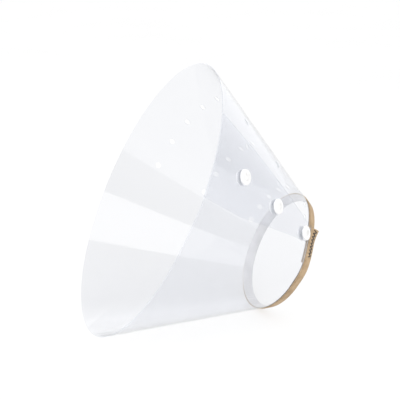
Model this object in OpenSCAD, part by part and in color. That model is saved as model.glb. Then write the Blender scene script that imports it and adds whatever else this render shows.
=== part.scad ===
// Elizabethan collar for a pet, lying on its side: a clear plastic sheet rolled into a cone,
// held shut by three snap rivets, with a soft binding round its neck edge.
// The mouth faces -X, the neck faces +X, and the cone rests on its lowest line at Z = 0.
// The origin is under the middle of the whole collar.

/* [Cone] */
// Outside diameter of the wide mouth
mouth_d = 260; // [240:2:280]
// Outside diameter of the sheet at the neck
neck_d = 108; // [104:1:112]
// Length of the sheet along its slope, from neck to mouth
slope_len = 168; // [164:1:176]
// Thickness of the clear sheet
sheet_t = 0.8; // [0.6:0.1:1]

/* [Closure] */
// Edge of the inner flap, in degrees round the cone from its highest line
inner_edge = -72.5; // [-74:0.5:-70]
// Edge of the outer flap, in degrees round the cone
outer_edge = -39.6; // [-42:0.2:-38]
// Slope, from the apex, below which both flaps' edges slant towards the rivets
slant_from = 236; // [225:1:240]
// Angle of the inner flap's slanted edge to the sheet's slope
inner_lean = 5.8; // [4:0.2:6]
// Angle of the outer flap's slanted edge to the sheet's slope
outer_lean = 3.2; // [2:0.2:3.4]
// Line of the three rivets, in degrees round the cone
rivet_line = -56.7; // [-57.5:0.1:-55]
// Distance along the slope from the mouth to the first row of holes
first_row = 40; // [38:1:42]
// Distance along the slope from one row of holes to the next
row_pitch = 55; // [53:1:55]
// Number of holes in each row, the one in use included
holes_per_row = 10; // [6:1:10]
// Angle from one hole of a row to the next
hole_pitch = 15.4; // [15:0.1:16]
// Diameter of each hole
hole_d = 6; // [6:0.5:7]

/* [Rivets] */
// Diameter of the rivets' round heads
head_d = 13.2; // [12:0.2:14]
// Diameter of the stud's post
post_d = 5.4; // [5:0.1:5.4]
// Thickness of the stud's head
stud_head_t = 1.8; // [1.6:0.1:2.4]
// Thickness of the cap
cap_t = 2.6; // [2.4:0.1:3.2]

/* [Binding] */
// Start of the binding, in degrees round the cone: its inner end runs on past the inner flap
tape_start = -81.5; // [-83:0.5:-80]
// Width of the binding along the slope
binding_w = 8.8; // [7:0.2:8.8]
// Thickness of the outer tape
tape_t = 0.6; // [0.5:0.1:1]
// Thickness of the inner lining
lining_t = 0.4; // [0.4:0.1:0.8]
// Distance that the tape stands past the sheet's neck edge
lip = 0.5; // [0.4:0.1:1.4]
// Length of one stitch along the binding
stitch_len = 2.6; // [2:0.1:3]
// Angle from one stitch to the next
stitch_pitch = 3.6; // [3.6:0.1:5]

/* [Hidden] */
$fn = 180;

// Slopes are measured from the cone's apex, and offsets outwards from the sheet's inner face.
half_angle = asin((mouth_d - neck_d) / 2 / slope_len);
mouth_s = (mouth_d / 2 - sheet_t * cos(half_angle)) / sin(half_angle);
neck_s = mouth_s - slope_len;
tape_s = neck_s + binding_w;
stitch_s = tape_s - 1.6;
stitch_t = 0.4;

// Clearances: between the flaps at the mouth, between the two bindings where they overlap,
// from a rivet's head to the curved sheet, and round the post in the cap.
flap_gap = 0.15;
binding_gap = 0.1;
cap_gap = 0.15;
stud_gap = 0.6;
post_fit = 0.05;

// The sheet steps out over the inner flap, and the bindings step out beside it.
// The lining's stretches overlap by the seam where they join. All in degrees.
seam = 0.2;
step_w = 2;
step_at = tape_start - 7.5;
step_end = step_at + step_w;
lining_end = step_end + step_w;

// Turn that an edge leaning from slant_from has gained at a slope. The outer flap's binding ends
// where the flap's slanted edge meets the neck.
function slant_turn(s, lean) = asin(tan(lean) * (slant_from - s) / (s * sin(half_angle)));
tape_end = outer_edge - slant_turn(neck_s, outer_lean);

// Offset of the outer flap's inner face: it lies on the inner flap at the mouth,
// and rides over the inner flap's binding at the neck.
flap_at_mouth = sheet_t + flap_gap;
flap_at_tape = sheet_t + tape_t + binding_gap + lining_t;
function flap(s) = flap_at_mouth + (flap_at_tape - flap_at_mouth) * (mouth_s - s) / (mouth_s - tape_s);
function row_s(row) = mouth_s - first_row - row * row_pitch;

// The tape and its stitches prop the neck up, so the axis rises a little less than half_angle.
prop_angle = atan((tape_t + stitch_t) / (mouth_s - stitch_s));
axis_rise = half_angle - prop_angle;

// A point of the profile: distance from the axis, and height above the apex.
function at(s, n) = [s * sin(half_angle) + n * cos(half_angle), s * cos(half_angle) - n * sin(half_angle)];
// The same point on the cone's highest line (side 1) or lowest line (side -1) once it is laid down.
function laid_x(p, side) = side * p[0] * sin(axis_rise) - p[1] * cos(axis_rise);
function laid_z(p, side) = side * p[0] * cos(axis_rise) + p[1] * sin(axis_rise);
lowest_x = laid_x(at(mouth_s, sheet_t), -1);
highest_x = laid_x(at(neck_s - lip, sheet_t + tape_t), 1);
floor_z = laid_z(at(mouth_s, sheet_t), -1);

// Lays the cone, drawn upright on its apex, on its side with its lowest line on the floor.
module lay() {
    translate([-(lowest_x + highest_x) / 2, 0, -floor_z])
        rotate([0, axis_rise - 90, 0])
            children();
}

// Turns a flat profile round the cone's axis between two angles.
module arc(from, to) {
    rotate([0, 0, from])
        rotate_extrude(angle = to - from)
            children();
}

// A slanted strip of profile from slope s0 to s1. low and high hold its offsets at both ends.
module strip(s0, s1, low, high) {
    polygon([at(s0, low[0]), at(s0, high[0]), at(s1, high[1]), at(s1, low[1])]);
}

// Moves a shape drawn round +Z to a place on the sheet, with +Z along the outward normal.
module on_sheet(s, angle) {
    p = at(s, 0);
    rotate([0, 0, angle])
        translate([p[0], 0, p[1]])
            rotate([0, 90 + half_angle, 0])
                children();
}

// What is cut off a flap's corner at the neck, at a slant. side is -1 for the inner flap, whose
// edge is where the sheet begins, and 1 for the outer flap, whose edge is where it ends.
module corner_cut(edge, lean, side) {
    width = 14;
    depth = 12;
    spare = 10;
    on_sheet(slant_from, edge)
        rotate([0, 0, -side * lean])
            translate([-spare, side < 0 ? -width : 0, -depth / 2])
                cube([slant_from - neck_s + 2 * spare, width, depth]);
}

// The clear sheet: the inner flap, the turn of the cone, the step and the outer flap.
module cone_sheet() {
    turn_end = step_at + 360;
    color([0.93, 0.95, 0.98, 0.35])
        lay() {
            difference() {
                arc(inner_edge, turn_end)
                    strip(neck_s, mouth_s, [0, 0], [sheet_t, sheet_t]);
                for (row = [0:2], k = [0:holes_per_row - 1])
                    on_sheet(row_s(row), rivet_line + k * hole_pitch)
                        translate([0, 0, -sheet_t])
                            cylinder(d = hole_d, h = 3 * sheet_t);
                corner_cut(inner_edge, inner_lean, -1);
            }
            arc(step_at, step_end)
                strip(neck_s, mouth_s, [0, 0], [flap(neck_s) + sheet_t, flap(mouth_s) + sheet_t]);
            difference() {
                arc(step_end, outer_edge)
                    strip(neck_s, mouth_s, [flap(neck_s), flap(mouth_s)],
                          [flap(neck_s) + sheet_t, flap(mouth_s) + sheet_t]);
                for (row = [0:2])
                    on_sheet(row_s(row), rivet_line)
                        cylinder(d = hole_d, h = 3 * flap_at_tape);
                corner_cut(outer_edge, outer_lean, 1);
            }
        }
}

// One stretch of the outer tape between two angles. low and high hold its offsets at the neck
// and at its upper edge, and edge_low is how far in its lip reaches under the sheet's edge.
module tape_arc(from, to, low, high, edge_low) {
    arc(from, to)
        polygon([
            at(neck_s - lip, edge_low),
            at(neck_s - lip, high[0]),
            at(neck_s, high[0]),
            at(tape_s, high[1]),
            at(tape_s, low[1]),
            at(neck_s, low[0]),
            at(neck_s, edge_low)
        ]);
}

// Outer tape of the binding, with its lip round the sheet's neck edge. It is one stretch round
// the cone and one on the outer flap, and its lip runs up the step from the first to the second.
module neck_tape() {
    link_inset = 0.1;
    link_lap = 1;
    link_low = -lining_t + link_inset;
    main_low = [sheet_t, sheet_t];
    main_high = [sheet_t + tape_t, sheet_t + tape_t];
    flap_low = [flap(neck_s) + sheet_t, flap(tape_s) + sheet_t];
    flap_high = [flap(neck_s) + sheet_t + tape_t, flap(tape_s) + sheet_t + tape_t];
    color([0.75, 0.65, 0.53])
        lay() {
            tape_arc(tape_start, step_at + 360, main_low, main_high, -lining_t);
            tape_arc(step_at, tape_end, flap_low, flap_high, flap(tape_s) - lining_t);
            arc(step_at - link_lap, lining_end)
                strip(neck_s - lip + link_inset, neck_s - link_inset, [link_low, link_low],
                      [flap_high[0] - link_inset, flap_high[0] - link_inset]);
        }
}

// Pale inner lining of the binding, against the inside of the sheet.
module tape_lining() {
    main_low = [-lining_t, -lining_t];
    flap_low = [flap(neck_s) - lining_t, flap(tape_s) - lining_t];
    flap_high = [flap(neck_s), flap(tape_s)];
    color([0.85, 0.86, 0.88])
        lay() {
            arc(tape_start, step_end + 360 + seam)
                strip(neck_s, tape_s, main_low, [0, 0]);
            arc(step_end, lining_end)
                strip(neck_s, tape_s, main_low, flap_high);
            arc(lining_end - seam, tape_end)
                strip(neck_s, tape_s, flap_low, flap_high);
        }
}

// Offset of the tape's outer face at an angle: it is higher on the outer flap.
function tape_face(s, angle) = angle < tape_end ? flap(s) + sheet_t + tape_t : sheet_t + tape_t;

// One straight stitch: a bar on the tape, turned by lean from the way round the neck.
module stitch(s, angle, len, thread, lean) {
    on_sheet(s, angle)
        translate([0, 0, tape_face(s, angle) + thread / 2])
            rotate([0, 0, 90 + lean])
                cube([len, thread, thread], center = true);
}

// Row of stitches near the upper edge of the tape, all the way round to the outer flap's end.
module tape_stitches() {
    step_margin = 2;
    first = step_end + step_margin;
    last = step_at + 360 - step_margin;
    color([0.62, 0.50, 0.38])
        lay()
            for (angle = [first:stitch_pitch:last])
                if (abs(angle - tape_end) > stitch_pitch / 2)
                    stitch(stitch_s, angle, stitch_len, stitch_t, 0);
}

// Dark bar tack that locks the tape's end down on the outer flap: a row of leaning stitches.
module end_bartack() {
    thread = 0.5;
    tack_line = 2.5;
    tack_len = 3.2;
    tack_pitch = 1.4;
    tack_lean = 70;
    tack_start = tape_end - 1.5;
    tack_count = 20;
    color([0.18, 0.16, 0.15])
        lay()
            for (k = [0:tack_count - 1])
                stitch(neck_s + tack_line, tack_start - k * tack_pitch, tack_len, thread, tack_lean);
}

// Stud of a snap rivet: a domed head inside the collar and a post through both flaps.
module stud(row) {
    head_r = head_d / 2;
    post_r = post_d / 2;
    head_top = -stud_gap;
    tip_sunk = 0.5;
    chamfer = 0.5;
    tip = flap(row_s(1)) + sheet_t + cap_gap + cap_t - tip_sunk;
    color([0.97, 0.97, 0.96])
        lay()
            on_sheet(row_s(row), rivet_line)
                rotate_extrude()
                    polygon([
                        [0, head_top - stud_head_t],
                        [head_r * 0.6, head_top - stud_head_t],
                        [head_r * 0.9, head_top - stud_head_t * 0.75],
                        [head_r, head_top - stud_head_t * 0.4],
                        [head_r, head_top],
                        [post_r, head_top],
                        [post_r, tip - chamfer],
                        [post_r - chamfer, tip],
                        [0, tip]
                    ]);
}

// Cap of a snap rivet: a domed ring outside the collar that grips the post.
module cap(row) {
    head_r = head_d / 2;
    bore_r = post_d / 2 + post_fit;
    base = flap(row_s(row)) + sheet_t + cap_gap;
    color([0.97, 0.97, 0.96])
        lay()
            on_sheet(row_s(row), rivet_line)
                rotate_extrude()
                    polygon([
                        [bore_r, base],
                        [head_r, base],
                        [head_r, base + cap_t * 0.45],
                        [head_r * 0.9, base + cap_t * 0.8],
                        [head_r * 0.62, base + cap_t],
                        [bore_r, base + cap_t]
                    ]);
}

cone_sheet();
neck_tape();
tape_lining();
tape_stitches();
end_bartack();
stud(0);  // stud_mouth
stud(1);  // stud_middle
stud(2);  // stud_neck
cap(0);  // cap_mouth
cap(1);  // cap_middle
cap(2);  // cap_neck
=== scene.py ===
"""Looks of a clear pet recovery collar that lies on its side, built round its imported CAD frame.

Lengths are in millimetres until a mesh is made, and angles in degrees round the cone from its
highest line. The sheet is one strip that starts at the inner flap's edge, goes once round the
cone and ends at the outer flap's edge, so a place on it is (turn, slope, offset): turn runs from
FIRST_EDGE to LAST_EDGE, slope is the distance from the cone's apex, and offset is outwards from
the sheet's inner face.
"""

from math import asin, atan, cos, pi, radians, sin

import bpy
import numpy as np
from mathutils import Euler, Matrix, Vector
from mathutils.geometry import delaunay_2d_cdt


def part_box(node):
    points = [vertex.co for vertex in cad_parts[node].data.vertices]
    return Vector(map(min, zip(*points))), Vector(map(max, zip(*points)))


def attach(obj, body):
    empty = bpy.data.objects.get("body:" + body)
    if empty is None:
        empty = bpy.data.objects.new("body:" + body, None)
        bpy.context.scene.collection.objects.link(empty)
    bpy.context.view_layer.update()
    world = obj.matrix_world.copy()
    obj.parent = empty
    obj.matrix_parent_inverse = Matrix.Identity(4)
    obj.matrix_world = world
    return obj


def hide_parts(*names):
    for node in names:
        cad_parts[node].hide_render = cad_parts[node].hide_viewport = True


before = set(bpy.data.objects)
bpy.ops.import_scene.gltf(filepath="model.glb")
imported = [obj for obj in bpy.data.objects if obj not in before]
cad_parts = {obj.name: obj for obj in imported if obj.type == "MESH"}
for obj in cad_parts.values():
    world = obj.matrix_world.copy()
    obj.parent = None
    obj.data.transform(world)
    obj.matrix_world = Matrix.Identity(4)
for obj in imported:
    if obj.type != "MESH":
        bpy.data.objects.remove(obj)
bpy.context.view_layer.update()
MM = 0.001

# Driving sizes of the collar, as in the CAD. Both flap edges lean below the slope SLANT_FROM, LIP
# is how far the binding stands out past the sheet's neck edge, and STITCH_DOWN is where its
# stitches run below its upper edge.
MOUTH_D = 260
NECK_D = 108
SLOPE_LEN = 168
SHEET_T = 0.8
FIRST_EDGE = -72.5
LAST_EDGE = 360 - 39.6
INNER_LEAN = 5.8
OUTER_LEAN = 3.2
SLANT_FROM = 236
RIVET_LINE = -56.7
FIRST_ROW = 40
ROW_PITCH = 55
HOLES_PER_ROW = 10
HOLE_PITCH = 15.4
HOLE_R = 3
TAPE_START = -81.5
BINDING_W = 8.8
TAPE_T = 0.6
LINING_T = 0.4
LIP = 0.5
STITCH_DOWN = 1.6
STITCH_T = 0.4
FLAP_GAP = 0.15
BINDING_GAP = 0.1
ROWS = ("mouth", "middle", "neck")

# What follows from them. Names in _S are slopes.
HALF_ANGLE = asin((MOUTH_D - NECK_D) / 2 / SLOPE_LEN)
MOUTH_S = (MOUTH_D / 2 - SHEET_T * cos(HALF_ANGLE)) / sin(HALF_ANGLE)
NECK_S = MOUTH_S - SLOPE_LEN
TAPE_S = NECK_S + BINDING_W
STITCH_S = TAPE_S - STITCH_DOWN
AXIS_RISE = HALF_ANGLE - atan((TAPE_T + STITCH_T) / (MOUTH_S - STITCH_S))
FLAP_AT_MOUTH = SHEET_T + FLAP_GAP
FLAP_AT_TAPE = SHEET_T + TAPE_T + BINDING_GAP + LINING_T
ROW_S = [MOUTH_S - FIRST_ROW - row * ROW_PITCH for row in range(len(ROWS))]

# Mesh of the sheet, over its flat pattern rolled out at FLAT_R. Points keep clear of the holes by
# millimetres and of the strip's ends by degrees, and a triangle is in a hole when its middle is
# within that share of the hole's radius.
FLAT_R = 90
SHEET_COLUMNS = 270
SHEET_ROWS = 22
HOLE_POINTS = 32
CLEAR_OF_HOLE = 1.6
CLEAR_OF_END = 0.7
CLEAR_OF_CORNER = 0.5
IN_HOLE = 0.98

# Binding: the offset of its face, the middle and half height of its turned edge, the angle on that
# edge where tape and lining meet, and the binding's gap to the sheet's edge.
SKIN_TOP = SHEET_T + TAPE_T
EDGE_MID = (SKIN_TOP - LINING_T) / 2
EDGE_HALF = (SKIN_TOP + LINING_T) / 2
SEAM_ANGLE = 200
EDGE_FIT = 0.05

# Snap rivets: the stud's head is inside the cone, and its post carries the cap outside.
HEAD_R = 6.6
POST_R = 2.7
POST_FIT = 0.05
STUD_HEAD_T = 1.8
STUD_GAP = 0.6
CAP_T = 2.6
CAP_GAP = 0.15
TIP_SUNK = 0.25

# Studio: how bright the room and the floor are for the eye, and how bright in mirrors. The floor
# has two mirrored values, in front of the collar and behind it. Its size and drop are in metres.
EVEN_LIGHT = 1.12
WALL_LIGHT = 1.5
ROOM_LIGHT = 0.08
FLOOR_GLOW = 0.71
FLOOR_MIRRORED = (0.78, 0.90)
FLOOR_SIZE = 12
FLOOR_DROP = 0.0002

# The sheet bends out over the inner flap in a stretch of its turn. At the mouth the stretch is
# short, and towards the neck it gets longer and ends sooner.
BEND_END_AT_MOUTH = 287
BEND_END_AT_NECK = 277.5
BEND_AT_MOUTH = 12
BEND_AT_NECK = 24
# The rivets pull the closure a little flat near the neck, by DENT at most. The dent is deepest at
# DENT_TURN and runs out DENT_HALF away on both sides. The neck's very edge gives less.
DENT = 5.0
DENT_TURN = -54
DENT_HALF = 58
DENT_POWER = 3
EDGE_EASE = 0.2
# The outer flap's corner at the neck springs out, from CURL_FROM to its end and below the slope
# CURL_TOP.
CURL_FROM = 298
CURL_UP = 3.2
CURL_TOP = 131
# How far these shapes run on past the sheet's neck edge and the tape's end, as shares of the way.
PAST_NECK = 1.02
PAST_END = 1.1


def smooth(x):
    """Eases from 0 to 1."""
    x = np.clip(x, 0, 1)
    return x * x * (3 - 2 * x)


def flap(slope):
    """Height of the outer flap's inner face over the inner flap's."""
    share = (MOUTH_S - slope) / (MOUTH_S - TAPE_S)
    return FLAP_AT_MOUTH + (FLAP_AT_TAPE - FLAP_AT_MOUTH) * share


def lift(turn, slope):
    """How far the strip stands out from the cone: nothing until it rides over the inner flap.
    The dent at the closure comes off that, in both flaps alike."""
    to_neck = np.clip((MOUTH_S - slope) / SLOPE_LEN, 0, PAST_NECK)
    bend = BEND_AT_MOUTH + (BEND_AT_NECK - BEND_AT_MOUTH) * to_neck
    bend_end = BEND_END_AT_MOUTH + (BEND_END_AT_NECK - BEND_END_AT_MOUTH) * to_neck
    over = smooth((turn - bend_end + bend) / bend)
    curl = np.clip((turn - CURL_FROM) / (TAPE_END - CURL_FROM), 0, PAST_END) ** 2
    near_neck = smooth((CURL_TOP - slope) / (CURL_TOP - NECK_S))
    away = np.abs((turn - DENT_TURN + 180) % 360 - 180)
    hollow = 0.5 + 0.5 * np.cos(pi * np.clip(away / DENT_HALF, 0, 1))
    dent = DENT * hollow * to_neck ** DENT_POWER * (1 - EDGE_EASE * smooth((TAPE_S - slope) / BINDING_W))
    return over * flap(slope) + CURL_UP * curl * near_neck - dent


def slant_turn(slope, lean):
    """Turn that an edge leaning from SLANT_FROM has gained at a slope."""
    past = np.maximum(SLANT_FROM - np.asarray(slope, float), 0)
    sideways = past * np.tan(np.radians(lean))
    return np.degrees(np.arcsin(sideways / ((SLANT_FROM - past) * sin(HALF_ANGLE))))


def first_edge(slope):
    """Turn of the inner flap's edge, which is slanted near the neck."""
    return FIRST_EDGE + slant_turn(slope, INNER_LEAN)


def last_edge(slope):
    """Turn of the outer flap's edge, slanted near the neck too."""
    return LAST_EDGE - slant_turn(slope, OUTER_LEAN)


TAPE_END = float(last_edge(NECK_S))


def laid(radius, height, turn):
    """Places of points given round the cone's axis, once the cone lies on its side."""
    across = radius * np.cos(np.radians(turn))
    x = across * sin(AXIS_RISE) - height * cos(AXIS_RISE)
    y = radius * np.sin(np.radians(turn))
    z = across * cos(AXIS_RISE) + height * sin(AXIS_RISE)
    return np.stack([x, y, z], -1)


def on_cone(turn, slope, offset):
    """Places on the plain cone, with the collar on its side and its apex at the origin."""
    radius = slope * sin(HALF_ANGLE) + offset * cos(HALF_ANGLE)
    height = slope * cos(HALF_ANGLE) - offset * sin(HALF_ANGLE)
    return laid(radius, height, turn)


# The mouth's lowest point is the collar's furthest point to -X, and it lies on the floor.
SHEET_LOW = np.array(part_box("cone_sheet")[0])
MOUTH_FOOT = on_cone(180.0, MOUTH_S, SHEET_T)
ORIGIN = np.array([SHEET_LOW[0] / MM - MOUTH_FOOT[0], 0, -MOUTH_FOOT[2]])


def place(turn, slope, offset):
    """Points of the strip in metres, in the collar's frame."""
    turn, slope, offset = np.broadcast_arrays(*(np.asarray(v, float) for v in (turn, slope, offset)))
    return (on_cone(turn, slope, lift(turn, slope) + offset) + ORIGIN) * MM


def outward(turn, slope, offset):
    """Unit normals of the strip's surface, outwards."""
    step = 0.02
    round_way = place(turn + step, slope, offset) - place(turn - step, slope, offset)
    down_way = place(turn, slope + step, offset) - place(turn, slope - step, offset)
    normal = np.cross(round_way, down_way)
    normal /= np.linalg.norm(normal, axis=-1, keepdims=True)
    away = place(turn, slope, offset + 1) - place(turn, slope, offset)
    return normal * np.sign((normal * away).sum(-1, keepdims=True))


def on_sheet(turn, slope):
    """Frame of a rivet on the inner flap: its origin on the inner face, its Z outwards."""
    step = 0.01
    origin = place(turn, slope, 0.0)
    z = Vector(outward(turn, slope, 0.0)).normalized()
    y = Vector(place(turn + step, slope, 0.0) - place(turn - step, slope, 0.0)).normalized()
    x = y.cross(z).normalized()
    y = z.cross(x)
    return Matrix.Translation(Vector(origin)) @ Matrix((x, y, z)).transposed().to_4x4()


# ---------------------------------------------------------------- materials


def new_material(name):
    """An empty node material."""
    mat = bpy.data.materials.new(name)
    mat.use_nodes = True
    nodes = mat.node_tree.nodes
    nodes.clear()
    return mat, nodes, mat.node_tree.links


def add(nodes, kind, **inputs):
    """A node with its settings: names in capitals go to the node, the rest to its sockets."""
    node = nodes.new(kind)
    for key, value in inputs.items():
        if key.isupper():
            setattr(node, key.lower(), value)
        else:
            node.inputs[key.replace("_", " ")].default_value = value
    return node


def object_coords(nodes):
    """Coordinates that ride with the piece, in metres."""
    return nodes.new("ShaderNodeTexCoord").outputs["Object"]


def noise(nodes, links, coords, scale, detail):
    """A cloudy value around 0.5, with about scale clouds to a metre."""
    tex = add(nodes, "ShaderNodeTexNoise", Scale=scale, Detail=detail, Roughness=0.55)
    links.new(coords, tex.inputs["Vector"])
    return tex.outputs["Fac"]


def ramp(nodes, links, fac, stops):
    """Colours by a value. Each stop is (value, colour)."""
    node = nodes.new("ShaderNodeValToRGB")
    elements = node.color_ramp.elements
    for i, (at, colour) in enumerate(stops):
        element = elements[i] if i < 2 else elements.new(at)
        element.position = at
        element.color = (*colour, 1)
    links.new(fac, node.inputs["Fac"])
    return node.outputs["Color"]


def maths(nodes, links, operation, a, b):
    """One operation on two values, each a number or a socket."""
    node = add(nodes, "ShaderNodeMath", OPERATION=operation)
    for socket, value in zip(node.inputs, (a, b)):
        if isinstance(value, (int, float)):
            socket.default_value = value
        else:
            links.new(value, socket)
    return node.outputs[0]


def spread(nodes, links, fac, low, high):
    """Maps a noise around 0.5 to a range."""
    node = add(nodes, "ShaderNodeMapRange", From_Min=0.3, From_Max=0.7, To_Min=low, To_Max=high)
    links.new(fac, node.inputs["Value"])
    return node.outputs["Result"]


def bump(nodes, links, height, strength, distance):
    """Normals of a relief, distance metres deep."""
    node = add(nodes, "ShaderNodeBump", Strength=strength, Distance=distance)
    links.new(height, node.inputs["Height"])
    return node.outputs["Normal"]


def output(nodes, links, shader):
    """Makes a shader the material's surface."""
    out = nodes.new("ShaderNodeOutputMaterial")
    links.new(shader, out.inputs["Surface"])


def clear_plastic(name, tint, mirror, haze):
    """Thin clear sheet: it passes tinted light, mirrors more at a slant and is faintly milky.
    mirror is its mirrored share when seen straight on. Only the face that light meets first
    mirrors, for both faces, so a glancing ray isn't trapped between them."""
    mat, nodes, links = new_material(name)
    coords = object_coords(nodes)
    waves = noise(nodes, links, coords, scale=9, detail=1)
    smears = noise(nodes, links, coords, scale=60, detail=4)
    rolled = bump(nodes, links, waves, strength=0.35, distance=0.0006)
    facing = add(nodes, "ShaderNodeLayerWeight", Blend=0.5)
    links.new(rolled, facing.inputs["Normal"])
    slant = maths(nodes, links, "POWER", facing.outputs["Facing"], 5.0)
    slant = maths(nodes, links, "MULTIPLY", slant, 1 - mirror)
    share = maths(nodes, links, "ADD", slant, mirror)
    leaving = nodes.new("ShaderNodeNewGeometry").outputs["Backfacing"]
    share = maths(nodes, links, "MULTIPLY", share, maths(nodes, links, "SUBTRACT", 1.0, leaving))
    through = add(nodes, "ShaderNodeBsdfTransparent", Color=(*tint, 1))
    gloss = nodes.new("ShaderNodeBsdfGlossy")
    links.new(spread(nodes, links, smears, low=0.05, high=0.10), gloss.inputs["Roughness"])
    links.new(rolled, gloss.inputs["Normal"])
    clear = nodes.new("ShaderNodeMixShader")
    links.new(share, clear.inputs["Fac"])
    links.new(through.outputs[0], clear.inputs[1])
    links.new(gloss.outputs[0], clear.inputs[2])
    milk = add(nodes, "ShaderNodeBsdfDiffuse", Color=(0.90, 0.92, 0.95, 1))
    film = nodes.new("ShaderNodeMixShader")
    patchy = spread(nodes, links, smears, low=haze * 0.7, high=haze * 1.3)
    links.new(patchy, film.inputs["Fac"])
    links.new(clear.outputs[0], film.inputs[1])
    links.new(milk.outputs[0], film.inputs[2])
    output(nodes, links, film.outputs[0])
    return mat


def tan_leather():
    """Fine grained leather-look tape with soft colour patches and creases."""
    mat, nodes, links = new_material("tan_leather")
    coords = object_coords(nodes)
    patches = noise(nodes, links, coords, scale=120, detail=5)
    grain = add(nodes, "ShaderNodeTexVoronoi", FEATURE="SMOOTH_F1", Scale=1500.0)
    links.new(coords, grain.inputs["Vector"])
    pores = noise(nodes, links, coords, scale=2600, detail=2)
    browns = [(0.30, (0.38, 0.262, 0.152)), (0.52, (0.50, 0.362, 0.225)), (0.75, (0.61, 0.455, 0.290))]
    colour = ramp(nodes, links, patches, browns)
    height = maths(nodes, links, "ADD", grain.outputs["Distance"],
                   maths(nodes, links, "MULTIPLY", pores, 0.35))
    shader = add(nodes, "ShaderNodeBsdfPrincipled", Specular_IOR_Level=0.2)
    links.new(colour, shader.inputs["Base Color"])
    rough = spread(nodes, links, patches, low=0.55, high=0.72)
    links.new(rough, shader.inputs["Roughness"])
    relief = bump(nodes, links, height, strength=0.5, distance=0.00018)
    links.new(relief, shader.inputs["Normal"])
    output(nodes, links, shader.outputs[0])
    return mat


def pale_weave():
    """Pale cloth of crossing threads: two wave textures across each other."""
    mat, nodes, links = new_material("pale_weave")
    scale = 420
    coords = object_coords(nodes)
    warp = add(nodes, "ShaderNodeTexWave", BANDS_DIRECTION="DIAGONAL", Scale=scale, Distortion=0.6)
    weft = add(nodes, "ShaderNodeTexWave", BANDS_DIRECTION="Z", Scale=scale * 1.3, Distortion=0.6)
    links.new(coords, warp.inputs["Vector"])
    links.new(coords, weft.inputs["Vector"])
    threads = maths(nodes, links, "MAXIMUM", warp.outputs["Fac"], weft.outputs["Fac"])
    patches = noise(nodes, links, coords, scale=90, detail=4)
    shade = maths(nodes, links, "MULTIPLY", threads, patches)
    greys = [(0.15, (0.55, 0.55, 0.565)), (0.65, (0.76, 0.76, 0.775))]
    colour = ramp(nodes, links, shade, greys)
    shader = add(nodes, "ShaderNodeBsdfPrincipled", Roughness=0.85, Sheen_Weight=0.25)
    links.new(colour, shader.inputs["Base Color"])
    relief = bump(nodes, links, threads, strength=0.6, distance=0.00012)
    links.new(relief, shader.inputs["Normal"])
    output(nodes, links, shader.outputs[0])
    return mat


def twisted_thread(name, low, high):
    """Sewing thread: strands twisted round each other."""
    mat, nodes, links = new_material(name)
    coords = object_coords(nodes)
    strands = add(nodes, "ShaderNodeTexWave", BANDS_DIRECTION="DIAGONAL", Scale=900.0, Distortion=1.2)
    links.new(coords, strands.inputs["Vector"])
    shader = add(nodes, "ShaderNodeBsdfPrincipled", Roughness=0.6, Sheen_Weight=0.3)
    colour = ramp(nodes, links, strands.outputs["Fac"], [(0.1, low), (0.9, high)])
    links.new(colour, shader.inputs["Base Color"])
    relief = bump(nodes, links, strands.outputs["Fac"], strength=0.6, distance=0.00008)
    links.new(relief, shader.inputs["Normal"])
    output(nodes, links, shader.outputs[0])
    return mat


def white_plastic():
    """Moulded white plastic with a faint moulded texture and slight smudges."""
    mat, nodes, links = new_material("white_plastic")
    coords = object_coords(nodes)
    mottle = noise(nodes, links, coords, scale=220, detail=4)
    spark = noise(nodes, links, coords, scale=3500, detail=1)
    shader = add(nodes, "ShaderNodeBsdfPrincipled", Specular_IOR_Level=0.5, Subsurface_Weight=0.9,
                 Subsurface_Scale=0.002, Subsurface_Radius=(1, 1, 1))
    colour = ramp(nodes, links, mottle, [(0.3, (0.85, 0.85, 0.84)), (0.7, (0.93, 0.93, 0.925))])
    links.new(colour, shader.inputs["Base Color"])
    rough = spread(nodes, links, mottle, low=0.26, high=0.40)
    links.new(rough, shader.inputs["Roughness"])
    relief = bump(nodes, links, spark, strength=0.12, distance=0.00004)
    links.new(relief, shader.inputs["Normal"])
    output(nodes, links, shader.outputs[0])
    return mat


def floor_white():
    """A lit white table: it glows, so what stands on it throws only a faint shadow. Mirrors see
    it dimmer in front of the collar than behind."""
    mat, nodes, links = new_material("floor_white")
    coords = object_coords(nodes)
    mottle = noise(nodes, links, coords, scale=3, detail=2)
    shader = add(nodes, "ShaderNodeBsdfPrincipled", Roughness=0.9, Specular_IOR_Level=0.1)
    greys = [(0.3, (0.245, 0.245, 0.245)), (0.7, (0.255, 0.255, 0.255))]
    colour = ramp(nodes, links, mottle, greys)
    links.new(colour, shader.inputs["Base Color"])
    split = nodes.new("ShaderNodeSeparateXYZ")
    links.new(coords, split.inputs[0])
    behind = add(nodes, "ShaderNodeMapRange", From_Min=0.0, From_Max=0.2,
                 To_Min=FLOOR_MIRRORED[0], To_Max=FLOOR_MIRRORED[1])
    links.new(split.outputs["Y"], behind.inputs["Value"])
    rays = nodes.new("ShaderNodeLightPath")
    # Of this node's sockets, inputs 6 and 7 are the colours A and B, and output 2 is their mix.
    glow = add(nodes, "ShaderNodeMix", DATA_TYPE="RGBA")
    links.new(rays.outputs["Is Glossy Ray"], glow.inputs["Factor"])
    glow.inputs[6].default_value = (FLOOR_GLOW, FLOOR_GLOW, FLOOR_GLOW, 1)
    links.new(behind.outputs["Result"], glow.inputs[7])
    links.new(glow.outputs[2], shader.inputs["Emission Color"])
    shader.inputs["Emission Strength"].default_value = 1
    output(nodes, links, shader.outputs[0])
    return mat


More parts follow.
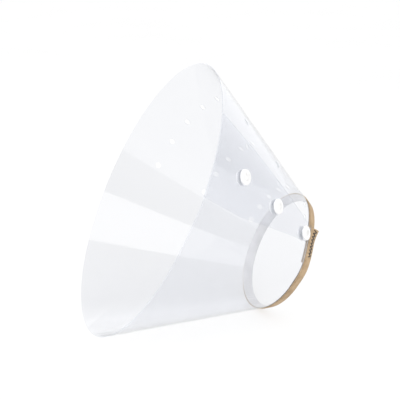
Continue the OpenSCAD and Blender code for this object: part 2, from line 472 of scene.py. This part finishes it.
SHEET_MAT = clear_plastic("clear_sheet", tint=(0.960, 0.964, 0.975), mirror=0.09, haze=0.012)
CUT_EDGE_MAT = clear_plastic("cut_edge", tint=(0.88, 0.895, 0.92), mirror=0.10, haze=0.15)
LEATHER_MAT = tan_leather()
LINING_MAT = pale_weave()
TAN_THREAD_MAT = twisted_thread("tan_thread", low=(0.30, 0.20, 0.12), high=(0.52, 0.38, 0.26))
DARK_THREAD_MAT = twisted_thread("dark_thread", low=(0.012, 0.010, 0.009), high=(0.06, 0.05, 0.042))
WHITE_MAT = white_plastic()


# ------------------------------------------------------------------- meshes


def new_object(name, points, faces, mats, body, replaced):
    """A piece on a CAD body that stands for some CAD nodes."""
    mesh = bpy.data.meshes.new(name)
    mesh.from_pydata([tuple(p) for p in points], [], faces)
    mesh.validate()
    mesh.update()
    for mat in mats:
        mesh.materials.append(mat)
    mesh.polygons.foreach_set("use_smooth", [True] * len(mesh.polygons))
    piece = bpy.data.objects.new(name, mesh)
    bpy.context.scene.collection.objects.link(piece)
    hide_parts(*replaced)
    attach(piece, body)
    return piece


def sharpen(mesh, angle):
    """Keeps edges that turn more than an angle crisp."""
    mesh.set_sharp_from_angle(angle=radians(angle))


def hole_centres():
    """(turn, slope) of every hole: the inner flap's rows, then the outer flap's three."""
    centres = [(RIVET_LINE + k * HOLE_PITCH, s) for s in ROW_S for k in range(HOLES_PER_ROW)]
    return centres + [(RIVET_LINE + 360, s) for s in ROW_S]


def hole_ring(turn, slope):
    """Points round one hole."""
    ring = []
    for k in range(HOLE_POINTS):
        a = 2 * pi * k / HOLE_POINTS
        sideways = HOLE_R * sin(a) / (slope * sin(HALF_ANGLE))
        ring.append((turn + np.degrees(sideways), slope + HOLE_R * cos(a)))
    return ring


def strip_outline(turns, slopes):
    """Points round the strip: along the neck, up the outer flap's edge, back along the mouth and
    down the inner flap's edge."""
    starts = [float(first_edge(s)) for s in slopes]
    ends = [float(last_edge(s)) for s in slopes]
    between = [t for t in turns if starts[0] + CLEAR_OF_CORNER < t < ends[0] - CLEAR_OF_CORNER]
    outline = [(t, NECK_S) for t in [starts[0]] + between + [ends[0]]]
    outline += zip(ends[1:-1], slopes[1:-1])
    outline += [(t, MOUTH_S) for t in turns[::-1]]
    outline += zip(starts[-2:0:-1], slopes[-2:0:-1])
    return outline


def to_hole(turn, slope, centres):
    """Distance along the sheet from a place to the nearest hole's centre."""
    return min(np.hypot(radians(turn - t) * s * sin(HALF_ANGLE), slope - s) for t, s in centres)


def strip_triangles():
    """The strip's (turn, slope) points and the triangles between them, with its holes left out."""
    turns = np.linspace(FIRST_EDGE, LAST_EDGE, SHEET_COLUMNS)
    slopes = np.linspace(NECK_S, MOUTH_S, SHEET_ROWS)
    centres = hole_centres()
    points, edges = [], []
    for loop in [strip_outline(turns, slopes)] + [hole_ring(t, s) for t, s in centres]:
        start = len(points)
        points += loop
        edges += [(start + k, start + (k + 1) % len(loop)) for k in range(len(loop))]
    for turn in turns[1:-1]:
        for slope in slopes[1:-1]:
            in_strip = first_edge(slope) + CLEAR_OF_END < turn < last_edge(slope) - CLEAR_OF_END
            if in_strip and to_hole(turn, slope, centres) > HOLE_R + CLEAR_OF_HOLE:
                points.append((turn, slope))
    flat = [Vector((radians(t) * FLAT_R, s)) for t, s in points]
    inside_edges = 1
    weld = 1e-5
    verts, _, faces, _, _, _ = delaunay_2d_cdt(flat, edges, [], inside_edges, weld)
    strip = np.array([(np.degrees(v.x / FLAT_R), v.y) for v in verts])
    kept = []
    for face in faces:
        turn, slope = strip[list(face)].mean(0)
        if to_hole(turn, slope, centres) > HOLE_R * IN_HOLE:
            kept.append(tuple(face))
    return strip, kept


def clear_sheet():
    """The strip as one closed solid: its triangles rolled up once for the inner face and once for
    the outer, and walls along every cut edge."""
    strip, triangles = strip_triangles()
    turn, slope = strip.T
    count = len(strip)
    points = np.concatenate([place(turn, slope, 0.0), place(turn, slope, SHEET_T)])
    normals = np.concatenate([-outward(turn, slope, 0.0), outward(turn, slope, SHEET_T)])
    outer_faces = [tuple(v + count for v in face) for face in triangles]
    a, b, c = outer_faces[0]
    if np.cross(points[b] - points[a], points[c] - points[a]) @ normals[a] < 0:
        triangles = [face[::-1] for face in triangles]
        outer_faces = [face[::-1] for face in outer_faces]
    inner_faces = [face[::-1] for face in triangles]
    sides = [edge for a, b, c in triangles for edge in ((a, b), (b, c), (c, a))]
    shared = set(sides)
    walls = [(b, b + count, a + count, a) for a, b in sides if (b, a) not in shared]
    piece = new_object("clear_sheet", points, outer_faces + inner_faces + walls,
                       [SHEET_MAT, CUT_EDGE_MAT], "cone", ["cone_sheet"])
    split = []
    for polygon in piece.data.polygons:
        wall = len(polygon.vertices) == 4
        polygon.material_index = 1 if wall else 0
        split += [tuple(polygon.normal if wall else normals[v]) for v in polygon.vertices]
    piece.data.normals_split_custom_set(split)
    return piece


def swept(profile, turns):
    """Rings of a profile of (slope, offset) points carried along the strip."""
    slopes = np.array([p[0] for p in profile], float)
    offsets = np.array([p[1] for p in profile], float)
    return [place(turn, slopes, offsets) for turn in turns]


def tube_faces(ring_count, size):
    """Quads between rings of points, and a fan over each end."""
    faces = []
    for i in range(ring_count - 1):
        for k in range(size):
            a, b = i * size + k, i * size + (k + 1) % size
            faces.append((a, b, b + size, a + size))
    faces.append(tuple(range(size))[::-1])
    last = (ring_count - 1) * size
    faces.append(tuple(range(last, last + size)))
    return faces


def arc(centre, radii, start, end, steps):
    """Points of an arc about a centre for a profile, from one angle to another in degrees."""
    angles = [radians(start + (end - start) * k / steps) for k in range(steps + 1)]
    return [(centre[0] + radii[0] * cos(a), centre[1] + radii[1] * sin(a)) for a in angles]


def neck_edge(start, end, steps):
    """Points of the binding's round turn over the sheet's neck edge."""
    return arc((NECK_S, EDGE_MID), (LIP, EDGE_HALF), start, end, steps)


def neck_tape():
    """The outer tape: crowned, with a groove under its stitches, turned over the neck edge."""
    r = 0.25
    tuck = 0.2
    groove = [(0.55, 0.0), (1.0, -0.04), (1.3, -0.15), (1.6, -0.20), (1.9, -0.15), (2.2, -0.03)]
    crown = [(2.8, 0.03), (4.0, 0.07), (5.5, 0.07), (7.0, 0.04), (8.2, 0.01)]
    profile = arc((TAPE_S - r, SKIN_TOP - r), (r, r), -40, 90, steps=6)
    profile += [(TAPE_S - down, SKIN_TOP + up) for down, up in groove + crown]
    profile += neck_edge(90, SEAM_ANGLE, steps=9)
    inside = NECK_S - EDGE_FIT
    profile += [(inside, profile[-1][1]), (inside, SHEET_T), (TAPE_S - tuck, SHEET_T)]
    turns = np.linspace(TAPE_START, TAPE_END, num=420)
    piece = new_object("neck_tape", np.concatenate(swept(profile, turns)),
                       tube_faces(len(turns), len(profile)),
                       [LEATHER_MAT], "cone", ["neck_tape"])
    sharpen(piece.data, angle=50)
    return piece


def tape_lining():
    """The pale lining against the sheet's inside, with a soft rolled upper edge."""
    r = LINING_T / 2
    gap = 0.01
    short = 0.1
    ribs = [(1.1, 0.0), (1.6, 0.1), (2.1, 0.0), (5, -0.02)]
    profile = arc((TAPE_S - r, -r), (r, r), 90, -90, steps=6)
    profile += [(TAPE_S - down, -LINING_T + up) for down, up in ribs]
    profile += neck_edge(270, SEAM_ANGLE, steps=6)
    inside = NECK_S - EDGE_FIT
    profile += [(inside, profile[-1][1]), (inside, -gap)]
    turns = np.linspace(TAPE_START + short, TAPE_END - short, num=380)
    piece = new_object("tape_lining", np.concatenate(swept(profile, turns)),
                       tube_faces(len(turns), len(profile)),
                       [LINING_MAT], "cone", ["tape_lining"])
    sharpen(piece.data, angle=50)
    return piece


def thread_bits(spans, radius, sink, bow):
    """Short lengths of thread on the tape. Each span is (turn, slope) to (turn, slope). Its ends
    dive sink below the tape's face, and its middle stands bow above it."""
    around = 8
    along = 7
    points, faces = [], []
    for (t0, s0), (t1, s1) in spans:
        share = np.linspace(0, 1, along)
        # A half wave that is steep at its ends.
        arch = np.sin(share * pi) ** 0.6
        turn, slope = t0 + (t1 - t0) * share, s0 + (s1 - s0) * share
        centre = place(turn, slope, SKIN_TOP - sink + (bow + sink) * arch)
        normal = outward(turn, slope, SKIN_TOP)
        ahead = np.gradient(centre, axis=0)
        ahead /= np.linalg.norm(ahead, axis=1, keepdims=True)
        side = np.cross(ahead, normal)
        start = len(points)
        for i in range(along):
            # Thinner towards both ends, by a quarter at most.
            fullness = sin(pi * min(max(share[i], 0.08), 0.92)) ** 0.5
            thick = radius * MM * (0.55 + 0.45 * fullness)
            for k in range(around):
                a = 2 * pi * k / around
                points.append(centre[i] + thick * (cos(a) * side[i] + sin(a) * normal[i]))
        faces += [tuple(start + v for v in face) for face in tube_faces(along, around)]
    return points, faces


def stitches():
    """One row of stitches in the tape's groove, all the way round where the tape shows."""
    pitch = 3.6
    length = 2.7
    first = TAPE_END - 360 + 2.5
    last = TAPE_END - 4
    spans = [((t, STITCH_S), (t + length, STITCH_S)) for t in np.arange(first, last, pitch)]
    points, faces = thread_bits(spans, radius=0.24, sink=0.35, bow=-0.02)
    return new_object("tape_stitches", points, faces, [TAN_THREAD_MAT], "cone",
                      ["tape_stitches"])


def bartack():
    """Dark zigzag of thread near the end of the tape, on the outer flap."""
    legs = 16
    first, last = TAPE_END - 28, TAPE_END - 1.2
    high, low = NECK_S + 5.6, NECK_S + 1.6
    turns = np.linspace(first, last, legs + 1)
    corners = [(turn, low if k % 2 else high) for k, turn in enumerate(turns)]
    points, faces = thread_bits(zip(corners, corners[1:]), radius=0.50, sink=0.1, bow=0.2)
    return new_object("end_bartack", points, faces, [DARK_THREAD_MAT], "cone",
                      ["end_bartack"])


def lathe(name, profile, spot):
    """A round moulding turned about its own Z from a profile of (radius, height), in millimetres.
    A profile that starts off the axis is a closed loop. Piece, body and CAD node share its name."""
    around = 72
    points, rings, faces = [], [], []
    for radius, height in profile:
        count = around if radius > 0 else 1
        rings.append([len(points) + k % count for k in range(around)])
        for k in range(count):
            a = 2 * pi * k / around
            points.append(spot @ Vector((radius * cos(a) * MM, radius * sin(a) * MM, height * MM)))
    if profile[0][0] > 0:
        rings.append(rings[0])
    for low, high in zip(rings, rings[1:]):
        for k in range(around):
            j = (k + 1) % around
            corners = (low[k], low[j], high[j], high[k])
            faces.append(tuple(dict.fromkeys(corners)))
    piece = new_object(name, points, faces, [WHITE_MAT], name, [name])
    sharpen(piece.data, angle=40)
    return piece


def stud_profile(tip):
    """Half a stud: from the gate mark in its head, over a ring groove and the round rim, to the
    dimple in its post's tip. Heights are outwards from the sheet's inner face."""
    rim = 1.3
    top = -STUD_GAP
    low = top - STUD_HEAD_T
    head = [(0, low + 0.25), (0.55, low + 0.22), (0.8, low + 0.02), (1.2, low)]
    head += [(3.6, low + 0.06), (3.9, low + 0.2), (4.2, low + 0.08)]
    head += arc((HEAD_R - rim, low + 1.35), (rim, rim), -78, 0, steps=8)
    head += [(HEAD_R, top - 0.25), (HEAD_R - 0.08, top - 0.08), (HEAD_R - 0.25, top)]
    post = [(POST_R + 0.2, top), (POST_R, top + 0.2), (POST_R, tip - 0.6)]
    post += [(POST_R - 0.12, tip - 0.3), (POST_R - 0.5, tip), (1.1, tip), (0.9, tip - 0.35)]
    return head + post + [(0, tip - 0.4)]


def cap_profile(base):
    """Half a cap: from its bore along its base, round the rim and over a ring groove to the bore."""
    rim = 1.5
    top = base + CAP_T
    bore = POST_R + POST_FIT
    cap = [(bore, base + 0.2), (bore + 0.2, base), (HEAD_R - 0.25, base), (HEAD_R - 0.08, base + 0.08)]
    cap += arc((HEAD_R - rim, base + 1.1), (rim, rim), 0, 62, steps=8)
    cap += [(4.55, top - 0.06), (4.3, top - 0.2), (4.05, top - 0.2), (3.85, top - 0.02)]
    return cap + [(bore + 0.35, top), (bore + 0.08, top - 0.1), (bore, top - 0.35)]


def rivets():
    """Stud and cap of each snap rivet. All posts are as long as the middle rivet needs."""
    tip = flap(ROW_S[1]) + SHEET_T + CAP_GAP + CAP_T - TIP_SUNK
    for name, slope in zip(ROWS, ROW_S):
        spot = on_sheet(RIVET_LINE, slope)
        base = flap(slope) + SHEET_T + CAP_GAP
        lathe(f"stud_{name}", stud_profile(tip), spot)
        lathe(f"cap_{name}", cap_profile(base), spot)


clear_sheet()
neck_tape()
tape_lining()
stitches()
bartack()
rivets()


# -------------------------------------------------------- floor, light, camera


def studio_floor():
    """A plain pale floor, a hair below the collar."""
    half = FLOOR_SIZE / 2
    corners = [(-half, -half, 0), (half, -half, 0), (half, half, 0), (-half, half, 0)]
    mesh = bpy.data.meshes.new("floor")
    mesh.from_pydata(corners, [], [(0, 1, 2, 3)])
    mesh.materials.append(floor_white())
    floor = bpy.data.objects.new("floor", mesh)
    bpy.context.scene.collection.objects.link(floor)
    floor.location.z = -FLOOR_DROP


def softbox(name, centre, aim, width, height, power, colour, mirrored):
    """A rectangular lamp that faces its aim. mirrored says whether glossy things show it."""
    light = bpy.data.lights.new(name, "AREA")
    light.shape = "RECTANGLE"
    light.size = width
    light.size_y = height
    light.energy = power
    light.color = colour
    lamp = bpy.data.objects.new(name, light)
    bpy.context.scene.collection.objects.link(lamp)
    facing = (Vector(aim) - Vector(centre)).to_track_quat("-Z", "Y")
    lamp.matrix_world = Matrix.Translation(Vector(centre)) @ facing.to_matrix().to_4x4()
    lamp.visible_glossy = mirrored


def white_room():
    """An even white light all round. Mirrors see it as a white wall behind and beside the collar,
    and as a dim room above and behind the camera, a little lighter towards the floor."""
    world = bpy.data.worlds.new("studio")
    bpy.context.scene.world = world
    world.use_nodes = True
    nodes, links = world.node_tree.nodes, world.node_tree.links
    nodes.clear()
    way = nodes.new("ShaderNodeTexCoord").outputs["Generated"]
    split = nodes.new("ShaderNodeSeparateXYZ")
    links.new(way, split.inputs[0])
    wall = add(nodes, "ShaderNodeMapRange", From_Min=-0.30, From_Max=0.6, To_Min=0.0, To_Max=1.0)
    links.new(split.outputs["Y"], wall.inputs["Value"])
    ceiling = add(nodes, "ShaderNodeMapRange", From_Min=0.45, From_Max=0.8, To_Min=1.0, To_Max=0.0)
    links.new(split.outputs["Z"], ceiling.inputs["Value"])
    lit = maths(nodes, links, "MULTIPLY", wall.outputs["Result"], ceiling.outputs["Result"])
    low = add(nodes, "ShaderNodeMapRange", From_Min=0.0, From_Max=0.45, To_Min=0.2, To_Max=0.0)
    links.new(split.outputs["Z"], low.inputs["Value"])
    lit = maths(nodes, links, "MAXIMUM", lit, low.outputs["Result"])
    strength = maths(nodes, links, "MULTIPLY", lit, WALL_LIGHT - ROOM_LIGHT)
    strength = maths(nodes, links, "ADD", strength, ROOM_LIGHT)
    even = add(nodes, "ShaderNodeBackground", Color=(1, 1, 1, 1), Strength=EVEN_LIGHT)
    mirrored = add(nodes, "ShaderNodeBackground", Color=(1, 1, 1, 1))
    links.new(strength, mirrored.inputs["Strength"])
    rays = nodes.new("ShaderNodeLightPath")
    mix = nodes.new("ShaderNodeMixShader")
    links.new(rays.outputs["Is Glossy Ray"], mix.inputs["Fac"])
    links.new(even.outputs[0], mix.inputs[1])
    links.new(mirrored.outputs[0], mix.inputs[2])
    out = nodes.new("ShaderNodeOutputWorld")
    links.new(mix.outputs[0], out.inputs["Surface"])


def photo_camera():
    """The camera at the photo's angle. Its angles are in degrees."""
    data = bpy.data.cameras.new("camera")
    data.lens = 79.2
    data.sensor_width = 36
    data.clip_end = 50
    camera = bpy.data.objects.new("camera", data)
    bpy.context.scene.collection.objects.link(camera)
    azimuth, elevation, roll = -16.46, 17.21, 0.33
    camera.location = (-0.21688, -0.73560, 0.34674)
    turned = Euler((radians(90 - elevation), 0, radians(azimuth)), "XYZ").to_matrix().to_4x4()
    turned = turned @ Matrix.Rotation(radians(roll), 4, "Z")
    camera.rotation_euler = turned.to_euler()
    bpy.context.scene.camera = camera


studio_floor()
white_room()
softbox("key_softbox", centre=(-0.362, -0.968, 1.423), aim=(-0.002, 0.142, 0.183),
        width=0.84, height=1.16, power=4.2, colour=(1.0, 0.975, 0.94), mirrored=True)
softbox("mouth_fill", centre=(-0.95, -0.15, 0.45), aim=(0.0, -0.05, 0.12),
        width=0.5, height=0.5, power=3.2, colour=(1.0, 1.0, 1.0), mirrored=False)
photo_camera()
bpy.context.scene.view_settings.view_transform = "Standard"
cycles = bpy.context.scene.cycles
cycles.max_bounces = 24
cycles.glossy_bounces = 16
cycles.diffuse_bounces = 6
cycles.transparent_max_bounces = 48
